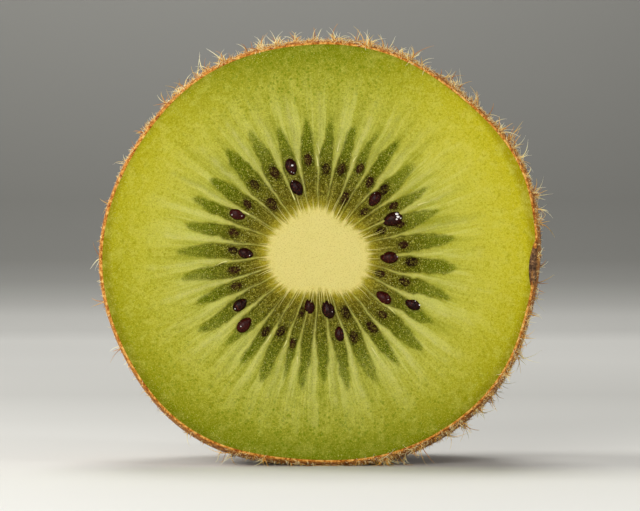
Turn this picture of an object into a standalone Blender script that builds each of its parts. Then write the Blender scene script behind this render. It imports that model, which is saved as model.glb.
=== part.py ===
"""Half a kiwi fruit, standing on its side with the cut face to the front.

Metres, +Z up. The cut face looks along -Y and the stem end along +Y. The origin
is on the ground under the middle of the fruit. Angles on the face are in degrees,
anticlockwise from +X as seen from the front.
"""

import math
import random

import bmesh
import bpy
from mathutils import Matrix, Vector

# Driving sizes
DEPTH = 0.032  # cut face to stem end
FACE_RADIUS = 0.0255  # mean radius of the flesh at the cut
SKIN = 0.0004  # thickness of the skin at the cut
BULGE = 0.00035  # how much wider the fruit is at its girth than at the cut
SAG = 0.0005  # how much more it bulges on the underside, so that the cut's edge clears the ground
GIRTH = 0.0055  # depth of the widest section behind the cut
REST_HEIGHT = 0.0253 # middle of the face above the ground
LEAN = 0.05  # sideways drift of the fruit's axis for each metre of depth

# Outline of the cut: (waves round the fruit, share of the radius, angle of a crest)
OUTLINE = (
    (2, 0.0166, 8.5),
    (3, 0.0078, -31.7),
    (4, 0.0078, 36.2),
    (5, 0.0065, 22.8),
    (6, 0.0026, 9.8),
    (7, 0.0055, 23.4),
    (8, 0.0018, 18.8),
)
LUMPS = ((3, 2.0, 0.004, 40), (5, 3.0, 0.003, 110), (7, 4.5, 0.002, 300))  # waves, turns, share, angle
BARREL = 2.35  # exponent of the long section: 2 is an ellipse, more is squarer
BELLY_BARREL = 3.2  # the same along the underside

# Core and locules, the green pockets that hold the seeds
CORE_CENTRE = Vector((-0.0002, 0, 0.0002))  # from the middle of the face
CORE_RADIUS = 0.0055
CORE_OUTLINE = ((2, 0.11, -10), (3, 0.065, -27), (5, 0.03, 22))
CORE_RISE = 0.0002
LOCULES = 32
LOCULE_TIP = 0.0162  # mean distance of a locule's outer tip from the core's centre
LOCULE_TIP_SPREAD = 0.0010
LOCULE_SINK = 0.00035  # how far its floor lies under the cut plane
SEPTUM_SHIFT = 1.5  # degrees
SEPTUM_DRIFT = ((1, 3.0, 141), (2, 2.8, 30), (3, 0.8, 20), (4, 0.7, -41))  # waves, degrees, crest
SEPTUM_JITTER = 0.8  # degrees

# Seeds
SEED_LENGTH = 0.0019
SEED_WIDTH = 0.0013
SEED_HEIGHT = 0.0010
SEED_SIDES = 6
SEED_RINGS = 4
SEED_TILT = 16  # degrees off the ray, at most
CLEAR_LIFT = 0.12  # a clear seed's middle above the locule's floor, as a share of its height
SUNK_LIFT = -0.15
# The seeds that lie clear: locule, share of its width, distance from the core's centre, size
CLEAR_SEEDS = (
    (31, 0.76, 0.0085, 1.15),
    (1, 0.92, 0.0098, 1.30),
    (3, 0.56, 0.0094, 1.05),
    (9, 0.56, 0.0083, 1.10),
    (9, 0.50, 0.0109, 1.10),
    (13, 0.30, 0.0108, 1.05),
    (15, 0.60, 0.0087, 1.00),
    (18, 0.51, 0.0112, 1.05),
    (19, 0.43, 0.0123, 1.15),
    (23, 0.22, 0.0064, 0.95),
    (25, 0.25, 0.0068, 1.20),
    (25, 0.70, 0.0099, 0.95),
    (29, 0.25, 0.0094, 1.10),
    (29, 0.72, 0.0128, 1.05),
)
# The rest are sunk. Each locule but these holds one on the outer ring.
NO_SUNK_OUTER = (9, 13, 18, 19, 23, 24, 25, 29)
SUNK_INNER = (1, 3, 5, 11, 22, 26, 30)
OUTER_RING = 0.0108
INNER_RING = 0.0076
RING_SPREAD = 0.0006

# Stem end
STEM_DISH = 0.0042  # radius
STEM_DISH_SINK = 0.0005
STEM_SCAR = 0.0021  # radius
STEM_SCAR_RISE = 0.0006

# Notch in the flesh where the skin has a thick dry scar, at the right of the cut, on a low swelling
NOTCH_ANGLE = -2.5
NOTCH_HALF_WIDTH = 6.5  # degrees
NOTCH_SINK = 0.00065
SWELLING = 0.0003
SWELLING_HALF_WIDTH = 18  # degrees

STATIONS_PER_LOCULE = 4  # two of them are a septum's and a locule's middle
SIDE_RINGS = 15
RANDOM_SEED = 7

SHIFT_X = 0.00005  # brings the middle of the uneven outline over the origin
SHIFT_Y = 0.00016  # makes up for the seeds that stand out of the cut
FACE_Y = SHIFT_Y - DEPTH / 2
FACE_CENTRE = Vector((SHIFT_X - LEAN * GIRTH, FACE_Y, REST_HEIGHT))  # the widest section is over the origin

SKIN_SLOT, FLESH_SLOT, LOCULE_SLOT, CORE_SLOT, SEED_SLOT, STEM_SLOT = range(6)


def clear_scene():
    for obj in list(bpy.data.objects):
        bpy.data.objects.remove(obj)


def material(name, colour, roughness):
    mat = bpy.data.materials.new(name)
    mat.use_nodes = True
    shader = mat.node_tree.nodes["Principled BSDF"]
    shader.inputs["Base Color"].default_value = (*colour, 1)
    shader.inputs["Roughness"].default_value = roughness
    shader.inputs["Metallic"].default_value = 0
    return mat


def materials():
    """In the order of the slot numbers."""
    return [
        material("skin", (0.28, 0.13, 0.035), 0.85),
        material("flesh", (0.40, 0.42, 0.05), 0.40),
        material("locule", (0.10, 0.12, 0.015), 0.35),
        material("core", (0.74, 0.63, 0.20), 0.55),
        material("seed", (0.025, 0.008, 0.006), 0.20),
        material("stem", (0.09, 0.05, 0.025), 0.90),
    ]


def waves(angle, harmonics):
    """One plus a sum of waves round the circle, each with a crest at its own angle."""
    return 1 + sum(share * math.cos(math.radians(n * (angle - crest))) for n, share, crest in harmonics)


def near_scar(angle, half_width):
    """From 0, that far from the scar's middle, to 1 there."""
    away = (angle - NOTCH_ANGLE + 180) % 360 - 180
    return max(0.0, 1 - (away / half_width) ** 2)


def notch(angle):
    return near_scar(angle, NOTCH_HALF_WIDTH)


def rim_radius(angle):
    return FACE_RADIUS * waves(angle, OUTLINE) + SWELLING * near_scar(angle, SWELLING_HALF_WIDTH) ** 2


def core_radius(angle):
    return CORE_RADIUS * waves(angle, CORE_OUTLINE)


def septum_angles(rng):
    """The wall before each locule, and the first wall again, one turn on."""
    angles = []
    for i in range(LOCULES):
        even = i * 360 / LOCULES
        drift = sum(size * math.cos(math.radians(n * (even - crest))) for n, size, crest in SEPTUM_DRIFT)
        angles.append(even + SEPTUM_SHIFT + drift + rng.uniform(-SEPTUM_JITTER, SEPTUM_JITTER))
    return [*angles, angles[0] + 360]


def locule_tips(rng):
    return [LOCULE_TIP + rng.uniform(-1, 1) * LOCULE_TIP_SPREAD for _ in range(LOCULES)]


def stations(septa, tips):
    """(angle, tip, share) round the face. Share is 0 on a septum and 1 in the middle of a locule."""
    found = []
    for i in range(LOCULES):
        for step in range(STATIONS_PER_LOCULE):
            part = step / STATIONS_PER_LOCULE
            angle = septa[i] + (septa[i + 1] - septa[i]) * part
            share = math.sin(math.pi * part) ** 0.6
            tip = tips[i] if step else (tips[i - 1] + tips[i]) / 2
            found.append((angle, tip, share))
    return found


def on_face(angle, radius, forward):
    """The point at that distance from the core's centre, near it, and from the face's, at the rim."""
    drift = 1 - min(1.0, radius / FACE_RADIUS)
    turn = math.radians(angle)
    way = Vector((math.cos(turn), 0, math.sin(turn)))
    return FACE_CENTRE + CORE_CENTRE * drift + way * radius + Vector((0, -forward, 0))


def belly(angle):
    """From 0 on the sides and the top to 1 straight below."""
    return max(0.0, -math.sin(math.radians(angle))) ** 2


def on_side(angle, turn):
    """A point of the skin. turn runs from 0 at the girth to a quarter circle at the stem end."""
    power = 2 / (BARREL + (BELLY_BARREL - BARREL) * belly(angle))
    girth = rim_radius(angle) + SKIN + BULGE + SAG * belly(angle)
    depth = GIRTH + (DEPTH - GIRTH) * math.sin(turn) ** power
    lumps = sum(
        share * math.cos(math.radians(n * angle + crest) + turns * turn) for n, turns, share, crest in LUMPS
    )
    radius = girth * math.cos(turn) ** power * (1 + lumps * math.sin(turn))
    way = math.radians(angle)
    middle = FACE_CENTRE + Vector((LEAN * depth, depth, 0))
    return middle + Vector((math.cos(way), 0, math.sin(way))) * radius


def before_girth(angle, share):
    """The skin between the cut, at share 0, and the girth, at share 1."""
    depth = GIRTH * share
    radius = rim_radius(angle) + SKIN + (BULGE + SAG * belly(angle)) * (1 - (1 - share) ** 2)
    way = math.radians(angle)
    middle = FACE_CENTRE + Vector((LEAN * depth, depth, 0))
    return middle + Vector((math.cos(way), 0, math.sin(way))) * radius


def stitch(mesh, ring, following, slot):
    """Joins two rings of vertices. Either may have half as many as the other."""
    if len(ring) > len(following):
        ring, following = following, ring
    count = len(ring)
    for i in range(count):
        a, b = ring[i], ring[(i + 1) % count]
        if len(following) == count:
            faces = [(a, b, following[(i + 1) % count], following[i])]
        else:
            c, d, e = (following[(2 * i + k) % len(following)] for k in range(3))
            faces = [(a, c, d), (a, d, b), (b, d, e)]
        for corners in faces:
            mesh.faces.new(corners).material_index = slot


def cap(mesh, ring, point, slot):
    tip = mesh.verts.new(point)
    for i, vert in enumerate(ring):
        mesh.faces.new((vert, ring[(i + 1) % len(ring)], tip)).material_index = slot


def face_rings(mesh, round_face):
    """The cut face from the rim inwards: flesh, the locules' sunken floors, and the core."""

    def ring(make, every=1):
        return [mesh.verts.new(make(*station)) for station in round_face[::every]]

    def flesh(share):
        def point(angle, tip, _):
            radius = tip + (rim_radius(angle) - NOTCH_SINK * notch(angle) - tip) * share
            return on_face(angle, radius, 0)

        return point

    def locule(share, depth):
        def point(angle, tip, middle):
            inner = core_radius(angle)
            return on_face(angle, inner + (tip - inner) * share, -LOCULE_SINK * depth * middle)

        return point

    def core(share, rise):
        return lambda angle, *_: on_face(angle, core_radius(angle) * share, CORE_RISE * rise)

    rim = ring(flesh(1), every=2)
    last = rim
    for share in (0.62, 0.28):
        following = ring(flesh(share), every=2 if share > 0.5 else 1)
        stitch(mesh, last, following, FLESH_SLOT)
        last = following
    for share, depth in ((1, 0), (0.9, 0.5), (0.75, 0.9), (0.5, 1), (0.25, 1), (0.08, 0.7)):
        following = ring(locule(share, depth))
        stitch(mesh, last, following, FLESH_SLOT if share == 1 else LOCULE_SLOT)
        last = following
    for share, rise, every in ((1, 0.2, 1), (0.88, 0.9, 2), (0.5, 1, 4)):
        following = ring(core(share, rise), every)
        stitch(mesh, last, following, CORE_SLOT)
        last = following
    cap(mesh, last, on_face(0, 0, CORE_RISE), CORE_SLOT)
    return rim


def side_rings(mesh, round_face, rim):
    """The skin from the cut to the stem end, and the stem's scar in its dish."""
    angles = [angle for angle, *_ in round_face[::2]]
    last = rim
    for share in (0, 0.25, 0.6, 1):
        following = [mesh.verts.new(before_girth(angle, share)) for angle in angles]
        stitch(mesh, last, following, SKIN_SLOT)
        last = following
    for k in range(1, SIDE_RINGS - 1):
        turn = math.pi / 2 * k / SIDE_RINGS
        every = 1 if k < SIDE_RINGS - 4 else 2
        following = [mesh.verts.new(on_side(angle, turn)) for angle in angles[::every]]
        stitch(mesh, last, following, SKIN_SLOT)
        last = following
    end = FACE_CENTRE + Vector((LEAN * DEPTH, DEPTH, 0))
    coarse = angles[::4]
    dish = (
        (STEM_DISH, 0.0, SKIN_SLOT),
        ((STEM_DISH + STEM_SCAR) / 2, -0.7 * STEM_DISH_SINK, SKIN_SLOT),
        (STEM_SCAR, -STEM_DISH_SINK, SKIN_SLOT),
        (0.92 * STEM_SCAR, STEM_SCAR_RISE - STEM_DISH_SINK, STEM_SLOT),
        (0.55 * STEM_SCAR, 0.5 * STEM_SCAR_RISE - STEM_DISH_SINK, STEM_SLOT),
    )
    for radius, rise, slot in dish:
        following = []
        for angle in coarse:
            way = math.radians(angle)
            offset = Vector((math.cos(way) * radius, rise, math.sin(way) * radius))
            following.append(mesh.verts.new(end + offset))
        stitch(mesh, last, following, slot)
        last = following
    cap(mesh, last, end + Vector((0, -STEM_DISH_SINK, 0)), STEM_SLOT)


def flatten_base(mesh):
    """Cuts the small flat that the fruit rests on, at the ground."""
    everything = [*mesh.verts, *mesh.edges, *mesh.faces]
    bmesh.ops.bisect_plane(mesh, geom=everything, plane_co=(0, 0, 0), plane_no=(0, 0, -1), clear_outer=True)
    open_edges = [edge for edge in mesh.edges if edge.is_boundary]
    made = bmesh.ops.edgeloop_fill(mesh, edges=open_edges)
    for face in made["faces"]:
        face.material_index = SKIN_SLOT


def fruit_body(round_face):
    mesh = bmesh.new()
    rim = face_rings(mesh, round_face)
    side_rings(mesh, round_face, rim)
    flatten_base(mesh)
    bmesh.ops.recalc_face_normals(mesh, faces=mesh.faces)
    for face in mesh.faces:
        face.smooth = True
    data = bpy.data.meshes.new("kiwi_half")
    mesh.to_mesh(data)
    mesh.free()
    for mat in materials():
        data.materials.append(mat)
    data.set_sharp_from_angle(angle=math.radians(35))
    body = bpy.data.objects.new("kiwi_half", data)
    bpy.context.scene.collection.objects.link(body)
    return body


def seed_places(septa, rng):
    """(angle, distance from the core's centre, size, tilt in degrees, lift) of each seed."""

    def place(locule, share, distance, size, lift):
        angle = septa[locule] + (septa[locule + 1] - septa[locule]) * share
        return angle, distance, size, rng.uniform(-SEED_TILT, SEED_TILT), lift * SEED_HEIGHT

    places = [place(*seed, CLEAR_LIFT) for seed in CLEAR_SEEDS]
    outer = [(i, OUTER_RING) for i in range(LOCULES) if i not in NO_SUNK_OUTER]
    inner = [(i, INNER_RING) for i in SUNK_INNER]
    for locule, ring in outer + inner:
        distance = ring + rng.uniform(-RING_SPREAD, RING_SPREAD)
        places.append(place(locule, rng.uniform(0.4, 0.6), distance, rng.uniform(0.7, 0.95), SUNK_LIFT))
    return places


def seed_solid(name, place, slots):
    """A flattened drop, its point to the core, sunk in the floor of its locule."""
    angle, distance, size, tilt, lift = place
    mesh = bmesh.new()
    bmesh.ops.create_uvsphere(mesh, u_segments=SEED_SIDES, v_segments=SEED_RINGS, radius=1)
    for vert in mesh.verts:
        along = vert.co.z
        narrow = 1 - 0.25 * max(0.0, -along)
        across = Vector((0, vert.co.y * SEED_HEIGHT / 2, vert.co.x * SEED_WIDTH / 2))
        vert.co = (Vector((along * SEED_LENGTH / 2, 0, 0)) + across * narrow) * size
    bmesh.ops.recalc_face_normals(mesh, faces=mesh.faces)
    for face in mesh.faces:
        face.material_index = SEED_SLOT
    data = bpy.data.meshes.new(name)
    mesh.to_mesh(data)
    mesh.free()
    for mat in slots:
        data.materials.append(mat)
    seed = bpy.data.objects.new(name, data)
    turn = Matrix.Rotation(-math.radians(angle + tilt), 4, "Y")
    seed.matrix_world = Matrix.Translation(on_face(angle, distance, lift - LOCULE_SINK)) @ turn
    return seed


def fuse_seeds(body, places):
    """Makes the seeds one with the fruit, and removes the seeds' own objects."""
    group = bpy.data.collections.new("seeds")
    bpy.context.scene.collection.children.link(group)
    for i, place in enumerate(places):
        group.objects.link(seed_solid(f"seed_{i:02d}", place, body.data.materials))
    union = body.modifiers.new("seeds", "BOOLEAN")
    union.operation = "UNION"
    union.operand_type = "COLLECTION"
    union.collection = group
    union.solver = "EXACT"
    bpy.context.view_layer.update()
    evaluated = body.evaluated_get(bpy.context.evaluated_depsgraph_get())
    fused = bpy.data.meshes.new_from_object(evaluated)
    fused.name = "kiwi_half"
    body.modifiers.remove(union)
    body.data = fused
    for seed in list(group.objects):
        bpy.data.objects.remove(seed)
    bpy.data.collections.remove(group)


def main():
    clear_scene()
    rng = random.Random(RANDOM_SEED)
    septa = septum_angles(rng)
    tips = locule_tips(rng)
    body = fruit_body(stations(septa, tips))
    fuse_seeds(body, seed_places(septa, rng))


main()
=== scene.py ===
import math
import random

import bpy
import numpy as np
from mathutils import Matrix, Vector


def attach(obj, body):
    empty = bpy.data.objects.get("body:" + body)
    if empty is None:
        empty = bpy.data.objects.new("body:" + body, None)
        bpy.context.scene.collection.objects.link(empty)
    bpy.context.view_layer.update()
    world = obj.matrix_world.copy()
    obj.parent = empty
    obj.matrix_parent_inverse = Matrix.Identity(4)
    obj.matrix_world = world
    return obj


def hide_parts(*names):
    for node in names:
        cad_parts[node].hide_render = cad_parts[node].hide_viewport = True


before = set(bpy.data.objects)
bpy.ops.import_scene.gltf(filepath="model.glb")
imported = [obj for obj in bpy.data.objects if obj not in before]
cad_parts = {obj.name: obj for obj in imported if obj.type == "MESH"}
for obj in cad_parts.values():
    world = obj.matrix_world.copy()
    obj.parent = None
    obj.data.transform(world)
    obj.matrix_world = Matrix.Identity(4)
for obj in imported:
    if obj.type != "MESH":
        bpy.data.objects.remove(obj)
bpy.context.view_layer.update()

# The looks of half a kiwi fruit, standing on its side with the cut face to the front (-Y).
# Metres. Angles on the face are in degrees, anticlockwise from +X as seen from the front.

# Sizes of the CAD source. Waves are (how many round the circle, size, angle of a crest), and
# lumps are (how many round the circle, how much they wind along the side, size, angle).
DEPTH = 0.032
FACE_RADIUS = 0.0255
SKIN = 0.0004
BULGE = 0.00035
SAG = 0.0005
GIRTH = 0.0055
REST_HEIGHT = 0.0253
LEAN = 0.05
OUTLINE = (
    (2, 0.0166, 8.5),
    (3, 0.0078, -31.7),
    (4, 0.0078, 36.2),
    (5, 0.0065, 22.8),
    (6, 0.0026, 9.8),
    (7, 0.0055, 23.4),
    (8, 0.0018, 18.8),
)
LUMPS = ((3, 2.0, 0.004, 40), (5, 3.0, 0.003, 110), (7, 4.5, 0.002, 300))
BARREL = 2.35
BELLY_BARREL = 3.2

CORE_CENTRE = np.array((-0.0002, 0, 0.0002))
CORE_RADIUS = 0.0055
CORE_OUTLINE = ((2, 0.11, -10), (3, 0.065, -27), (5, 0.03, 22))
CORE_RISE = 0.0002
LOCULES = 32
LOCULE_TIP = 0.0162
LOCULE_TIP_SPREAD = 0.0010
LOCULE_SINK = 0.00035
SEPTUM_SHIFT = 1.5
SEPTUM_DRIFT = ((1, 3.0, 141), (2, 2.8, 30), (3, 0.8, 20), (4, 0.7, -41))
SEPTUM_JITTER = 0.8

SEED_LENGTH = 0.0019
SEED_WIDTH = 0.0013
SEED_HEIGHT = 0.0010
SEED_TILT = 16
CLEAR_LIFT = 0.12
SUNK_LIFT = -0.15

# Seeds that show clearly: locule, share of its width, distance from the core's centre, and size
CLEAR_SEEDS = (
    (31, 0.76, 0.0085, 1.15),
    (1, 0.92, 0.0098, 1.30),
    (3, 0.56, 0.0094, 1.05),
    (9, 0.56, 0.0083, 1.10),
    (9, 0.50, 0.0109, 1.10),
    (13, 0.30, 0.0108, 1.05),
    (15, 0.60, 0.0087, 1.00),
    (18, 0.51, 0.0112, 1.05),
    (19, 0.43, 0.0123, 1.15),
    (23, 0.22, 0.0064, 0.95),
    (25, 0.25, 0.0068, 1.20),
    (25, 0.70, 0.0099, 0.95),
    (29, 0.25, 0.0094, 1.10),
    (29, 0.72, 0.0128, 1.05),
)
NO_SUNK_OUTER = (9, 13, 18, 19, 23, 24, 25, 29)
SUNK_INNER = (1, 3, 5, 11, 22, 26, 30)
OUTER_RING = 0.0108
INNER_RING = 0.0076
RING_SPREAD = 0.0006

STEM_DISH = 0.0042
STEM_DISH_SINK = 0.0005
STEM_SCAR = 0.0021
STEM_SCAR_RISE = 0.0006

NOTCH_ANGLE = -2.5
NOTCH_HALF_WIDTH = 6.5
NOTCH_SINK = 0.00065
SWELLING = 0.0003
SWELLING_HALF_WIDTH = 18
RANDOM_SEED = 7

# Shifts that put the middle of the solid over the origin
SHIFT_X = 0.00005
SHIFT_Y = 0.00016
FACE_Y = SHIFT_Y - DEPTH / 2
FACE_CENTRE = np.array((SHIFT_X - LEAN * GIRTH, FACE_Y, REST_HEIGHT))

# How finely the scene's pieces are meshed
FACE_TURNS = 640
FLESH_RINGS = 150
CORE_RINGS = 24
CORE_SHARE = 0.85  # the core's own piece ends here, inside its feathered edge
SKIN_TURNS = 720
SEED_TURNS = 24
SEED_STEPS = 14

# The cut face: random bumps by their size, and widths at the core's end and at the tips' end
WOBBLE = 0.0006
FINE_WOBBLE = 0.0002
SWAY = 0.9  # degrees that the walls wander
SWAY_BUMPS = (0.0024, 0.001)
LOCULE_GAP = (0.00009, 0.00040)  # half the flesh between two locules
LOCULE_SOFTNESS = (0.00007, 0.00026)
WALL_WIDTH = (0.00008, 0.00028)
RAY_WIDTH = (0.00018, 0.00068)
TAPER_START = 0.40  # where a locule begins to narrow, as a share of its length
TAPER_END = 1.05
CORE_TOOTH = 0.00060  # how far the core reaches out along each wall
CORE_TOOTH_WIDTH = 0.00014

# Rings of the skin near the cut: share of the way to the girth, rounding, and how much it looks cut
CUT_STEPS = 5
LIP_RINGS = (
    (0.015, 0.4, 0.5),
    (0.04, 0.2, 0.0),
    (0.08, 0.05, 0.0),
    (0.14, 0.0, 0.0),
    (0.22, 0.0, 0.0),
    (0.34, 0.0, 0.0),
    (0.5, 0.0, 0.0),
    (0.7, 0.0, 0.0),
    (0.9, 0.0, 0.0),
)
SIDE_RINGS = 60

# Rings of the stem's end: radius, height above the dish's edge, and whether it is the stem's wood
STEM_RINGS = (
    (STEM_DISH, 0.0, 0),
    (STEM_DISH * 0.85, -0.35 * STEM_DISH_SINK, 0),
    ((STEM_DISH + STEM_SCAR) / 2, -0.7 * STEM_DISH_SINK, 0),
    (STEM_SCAR * 1.15, -0.95 * STEM_DISH_SINK, 0),
    (STEM_SCAR, -STEM_DISH_SINK, 1),
    (0.97 * STEM_SCAR, 0.6 * STEM_SCAR_RISE - STEM_DISH_SINK, 1),
    (0.88 * STEM_SCAR, STEM_SCAR_RISE - STEM_DISH_SINK, 1),
    (0.75 * STEM_SCAR, 0.85 * STEM_SCAR_RISE - STEM_DISH_SINK, 1),
    (0.55 * STEM_SCAR, 0.5 * STEM_SCAR_RISE - STEM_DISH_SINK, 1),
    (0.3 * STEM_SCAR, 0.1 * STEM_SCAR_RISE - STEM_DISH_SINK, 1),
    (0.02 * STEM_SCAR, -STEM_DISH_SINK, 1),
)

# Hairs of the skin: how many, shortest and longest, thickness, points along one, lean off upright,
# clumping, how much they crowd at the cut's edge, and how many spring from one place
FUZZ = (15000, (0.0002, 0.0005), 0.000028, 3, 3.0, 0.5, 1.0, 1)
EDGE_FUZZ = (6000, (0.0002, 0.0006), 0.000045, 4, 3.0, 1.2, 60.0, 2)
BRISTLES = (1700, (0.0006, 0.0022), 0.000055, 7, 0.6, 2.5, 8.0, 4)
HAIR_SIDES = 3
HAIR_BEND = 0.6  # a usual bend, in lengths
HAIR_MOST_BEND = 1.1
HAIR_ROOT = 0.00004  # how deep in the skin a hair starts
HAIR_FLOOR = 0.00003  # the lowest that a hair lies
TUFT_SPREAD = 0.00007  # how far apart the hairs of one tuft spring

# Wet streaks on the walls, painted pale as highlights: which wall, and how far from the core's centre each
# begins
WET_EDGES = (
    (8, 0.0120),
    (8, 0.0105),
    (9, 0.0105),
    (7, 0.0125),
    (6, 0.0118),
    (10, 0.0070),
    (21, 0.0112),
    (22, 0.0110),
    (23, 0.0125),
    (2, 0.0132),
    (16, 0.0110),
    (27, 0.0128),
    (29, 0.0105),
    (13, 0.0095),
)

# Wet beads, painted pale as sparkles: how many are tried, smallest and largest
LOCULE_BEADS = (4600, 0.000028, 0.000075)
RIM_BEADS = (900, 0.000024, 0.000055)
OUTER_BEADS = (900, 0.000018, 0.000038)
BEAD_MESH = (6, 3)  # turns and steps
DROP_MESH = (12, 8)

# Painted highlights on the clear seeds, as low white drops: which seed, its mesh's step and turn at the
# drop, and radius
SEED_GLINTS = (
    (1, 4, 4, 0.00017), (1, 4, 6, 0.00017), (1, 5, 7, 0.00011), (1, 3, 8, 0.00009), (4, 6, 7, 0.00012),
    (4, 9, 5, 0.00005), (4, 10, 7, 0.00005), (13, 3, 4, 0.00010), (13, 6, 3, 0.00005), (5, 4, 4, 0.00006),
    (5, 9, 6, 0.00005), (0, 2, 5, 0.00005), (3, 2, 6, 0.00005), (8, 5, 7, 0.00006), (12, 4, 5, 0.00005),
    (2, 4, 3, 0.00005), (7, 3, 6, 0.00006), (10, 5, 4, 0.00005), (6, 9, 5, 0.00005),
)
GLINT_SHAPE = (1.2, 0.6, 0.9)  # a drop's reach across, forward and up, in radii

# The studio's floor sweeps up into a wall. Its greys are (distance behind the fruit or height, grey),
# painted light and shade: with the lamps they set how bright the floor looks, darker just behind the fruit,
# and the wall grey.
FLOOR_ROWS = (-0.9, -0.2, 0.2)  # rows of points on the flat floor before the sweep
FLOOR_END = 0.75  # where the sweep begins
SWEEP_RADIUS = 0.4
SWEEP_STEPS = 40
WALL_TOP = 2.0
STAGE_HALF_WIDTH = 2.5
FIRST_GREY = 0.1  # how far in front of the fruit the first grey of the floor lies
FLOOR_GREYS = (
    (-0.1, 238),
    (0.0, 219),
    (0.1, 204),
    (0.2, 197),
    (0.4, 218),
    (0.6, 226),
    (0.75, 212),
)
WALL_GREYS = (
    (0.0, 212),
    (0.0024, 211),
    (0.0087, 178),
    (0.0155, 154),
    (0.024, 137),
    (0.047, 131),
    (0.13, 148),
)
WALL_START = 0.001  # above this height the wall's greys hold

# Lamps: name, place, size, watts, and the place that it points at
LAMPS = (
    ("key", (-0.26, -0.82, 0.28), 0.45, 4.8, FACE_CENTRE),
    ("fill", (0.75, -0.50, 0.35), 0.16, 1.6, FACE_CENTRE),
    ("side_light", (-0.36, 0.06, 0.20), 0.20, 1.3, FACE_CENTRE),
    ("top_light", (0.0, 0.30, 0.78), 0.40, 3.0, FACE_CENTRE),
    ("backdrop_light", (-0.08, 0.85, 0.50), 0.30, 1.15, (-0.08, 0.85, 0.0)),
)
LAMP_COLOUR = (1.0, 0.98, 0.95)
SKY_COLOUR = (0.97, 0.98, 1.0, 1.0)
SKY_STRENGTH = 0.14

# The camera and the photograph's frame
VIEW_DISTANCE = 0.42  # camera to the cut face
VIEW_OFFSET = (0.00007, -0.00008)  # how far right of the face's centre and above it the camera stands
PIXELS_PER_METRE = 8360
IMAGE_WIDTH = 640
SENSOR = 36

UP = np.array((0.0, 0.0, 1.0))


# Numbers


def smooth(low, high, value):
    """From 0 at low to 1 at high, with no corners."""
    share = np.clip((value - low) / (high - low), 0, 1)
    return share * share * (3 - 2 * share)


def grow(sizes, low, high, value):
    """From the first size at low to the second at high."""
    return sizes[0] + (sizes[1] - sizes[0]) * smooth(low, high, value)


def waves(angle, harmonics):
    """One plus a sum of waves round the circle, each with a crest at its own angle."""
    total = np.ones_like(angle, dtype=float)
    for n, share, crest in harmonics:
        total += share * np.cos(np.radians(n * (angle - crest)))
    return total


def grain(x, y, cell, seed):
    """Smooth random values from -1 to 1 on the plane, about one bump in each cell."""
    side = 256
    table = np.random.default_rng(seed).uniform(-1, 1, (side, side))
    column, row = x / cell, y / cell
    i, j = np.floor(column).astype(int), np.floor(row).astype(int)
    u, v = smooth(0, 1, column - i), smooth(0, 1, row - j)
    low = table[i % side, j % side] * (1 - u) + table[(i + 1) % side, j % side] * u
    high = table[i % side, (j + 1) % side] * (1 - u) + table[(i + 1) % side, (j + 1) % side] * u
    return low * (1 - v) + high * v


# The fruit's form, as in the CAD source


def near_scar(angle, half_width):
    """From 0, that far from the scar's middle, to 1 there."""
    away = (angle - NOTCH_ANGLE + 180) % 360 - 180
    return np.maximum(0.0, 1 - (away / half_width) ** 2)


def notch(angle):
    return near_scar(angle, NOTCH_HALF_WIDTH)


def rim_radius(angle):
    return FACE_RADIUS * waves(angle, OUTLINE) + SWELLING * near_scar(angle, SWELLING_HALF_WIDTH) ** 2


def flesh_rim(angle):
    return rim_radius(angle) - NOTCH_SINK * notch(angle)


def core_radius(angle):
    return CORE_RADIUS * waves(angle, CORE_OUTLINE)


def septum_angles(rng):
    angles = []
    for i in range(LOCULES):
        even = i * 360 / LOCULES
        drift = sum(size * math.cos(math.radians(n * (even - crest))) for n, size, crest in SEPTUM_DRIFT)
        angles.append(even + SEPTUM_SHIFT + drift + rng.uniform(-SEPTUM_JITTER, SEPTUM_JITTER))
    return [*angles, angles[0] + 360]


def locule_tips(rng):
    return [LOCULE_TIP + rng.uniform(-1, 1) * LOCULE_TIP_SPREAD for _ in range(LOCULES)]


def seed_places(septa, rng):
    """(angle, distance from the core's centre, size, tilt, lift) of each seed, clear ones first."""

    def place(locule, share, distance, size, lift):
        angle = septa[locule] + (septa[locule + 1] - septa[locule]) * share
        return angle, distance, size, rng.uniform(-SEED_TILT, SEED_TILT), lift * SEED_HEIGHT

    places = [place(*seed, CLEAR_LIFT) for seed in CLEAR_SEEDS]
    outer = [(i, OUTER_RING) for i in range(LOCULES) if i not in NO_SUNK_OUTER]
    inner = [(i, INNER_RING) for i in SUNK_INNER]
    for locule, ring in outer + inner:
        distance = ring + rng.uniform(-RING_SPREAD, RING_SPREAD)
        places.append(place(locule, rng.uniform(0.4, 0.6), distance, rng.uniform(0.7, 0.95), SUNK_LIFT))
    return places


def rays(angle):
    """Unit vectors on the face's plane."""
    turn = np.radians(angle)
    return np.stack((np.cos(turn), np.zeros_like(turn), np.sin(turn)), axis=-1)


def on_face(angle, radius, forward):
    drift = 1 - np.minimum(1.0, radius / FACE_RADIUS)
    points = FACE_CENTRE + CORE_CENTRE * drift[..., None] + rays(angle) * radius[..., None]
    points[..., 1] -= forward
    return points


def belly(angle):
    """From 0 on the sides and the top to 1 straight below."""
    return np.maximum(0.0, -np.sin(np.radians(angle))) ** 2


def before_girth(angle, share):
    depth = GIRTH * share
    radius = rim_radius(angle) + SKIN + (BULGE + SAG * belly(angle)) * (1 - (1 - share) ** 2)
    middle = FACE_CENTRE + np.array((LEAN * depth, depth, 0))
    return middle + rays(angle) * radius[..., None]


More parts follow.
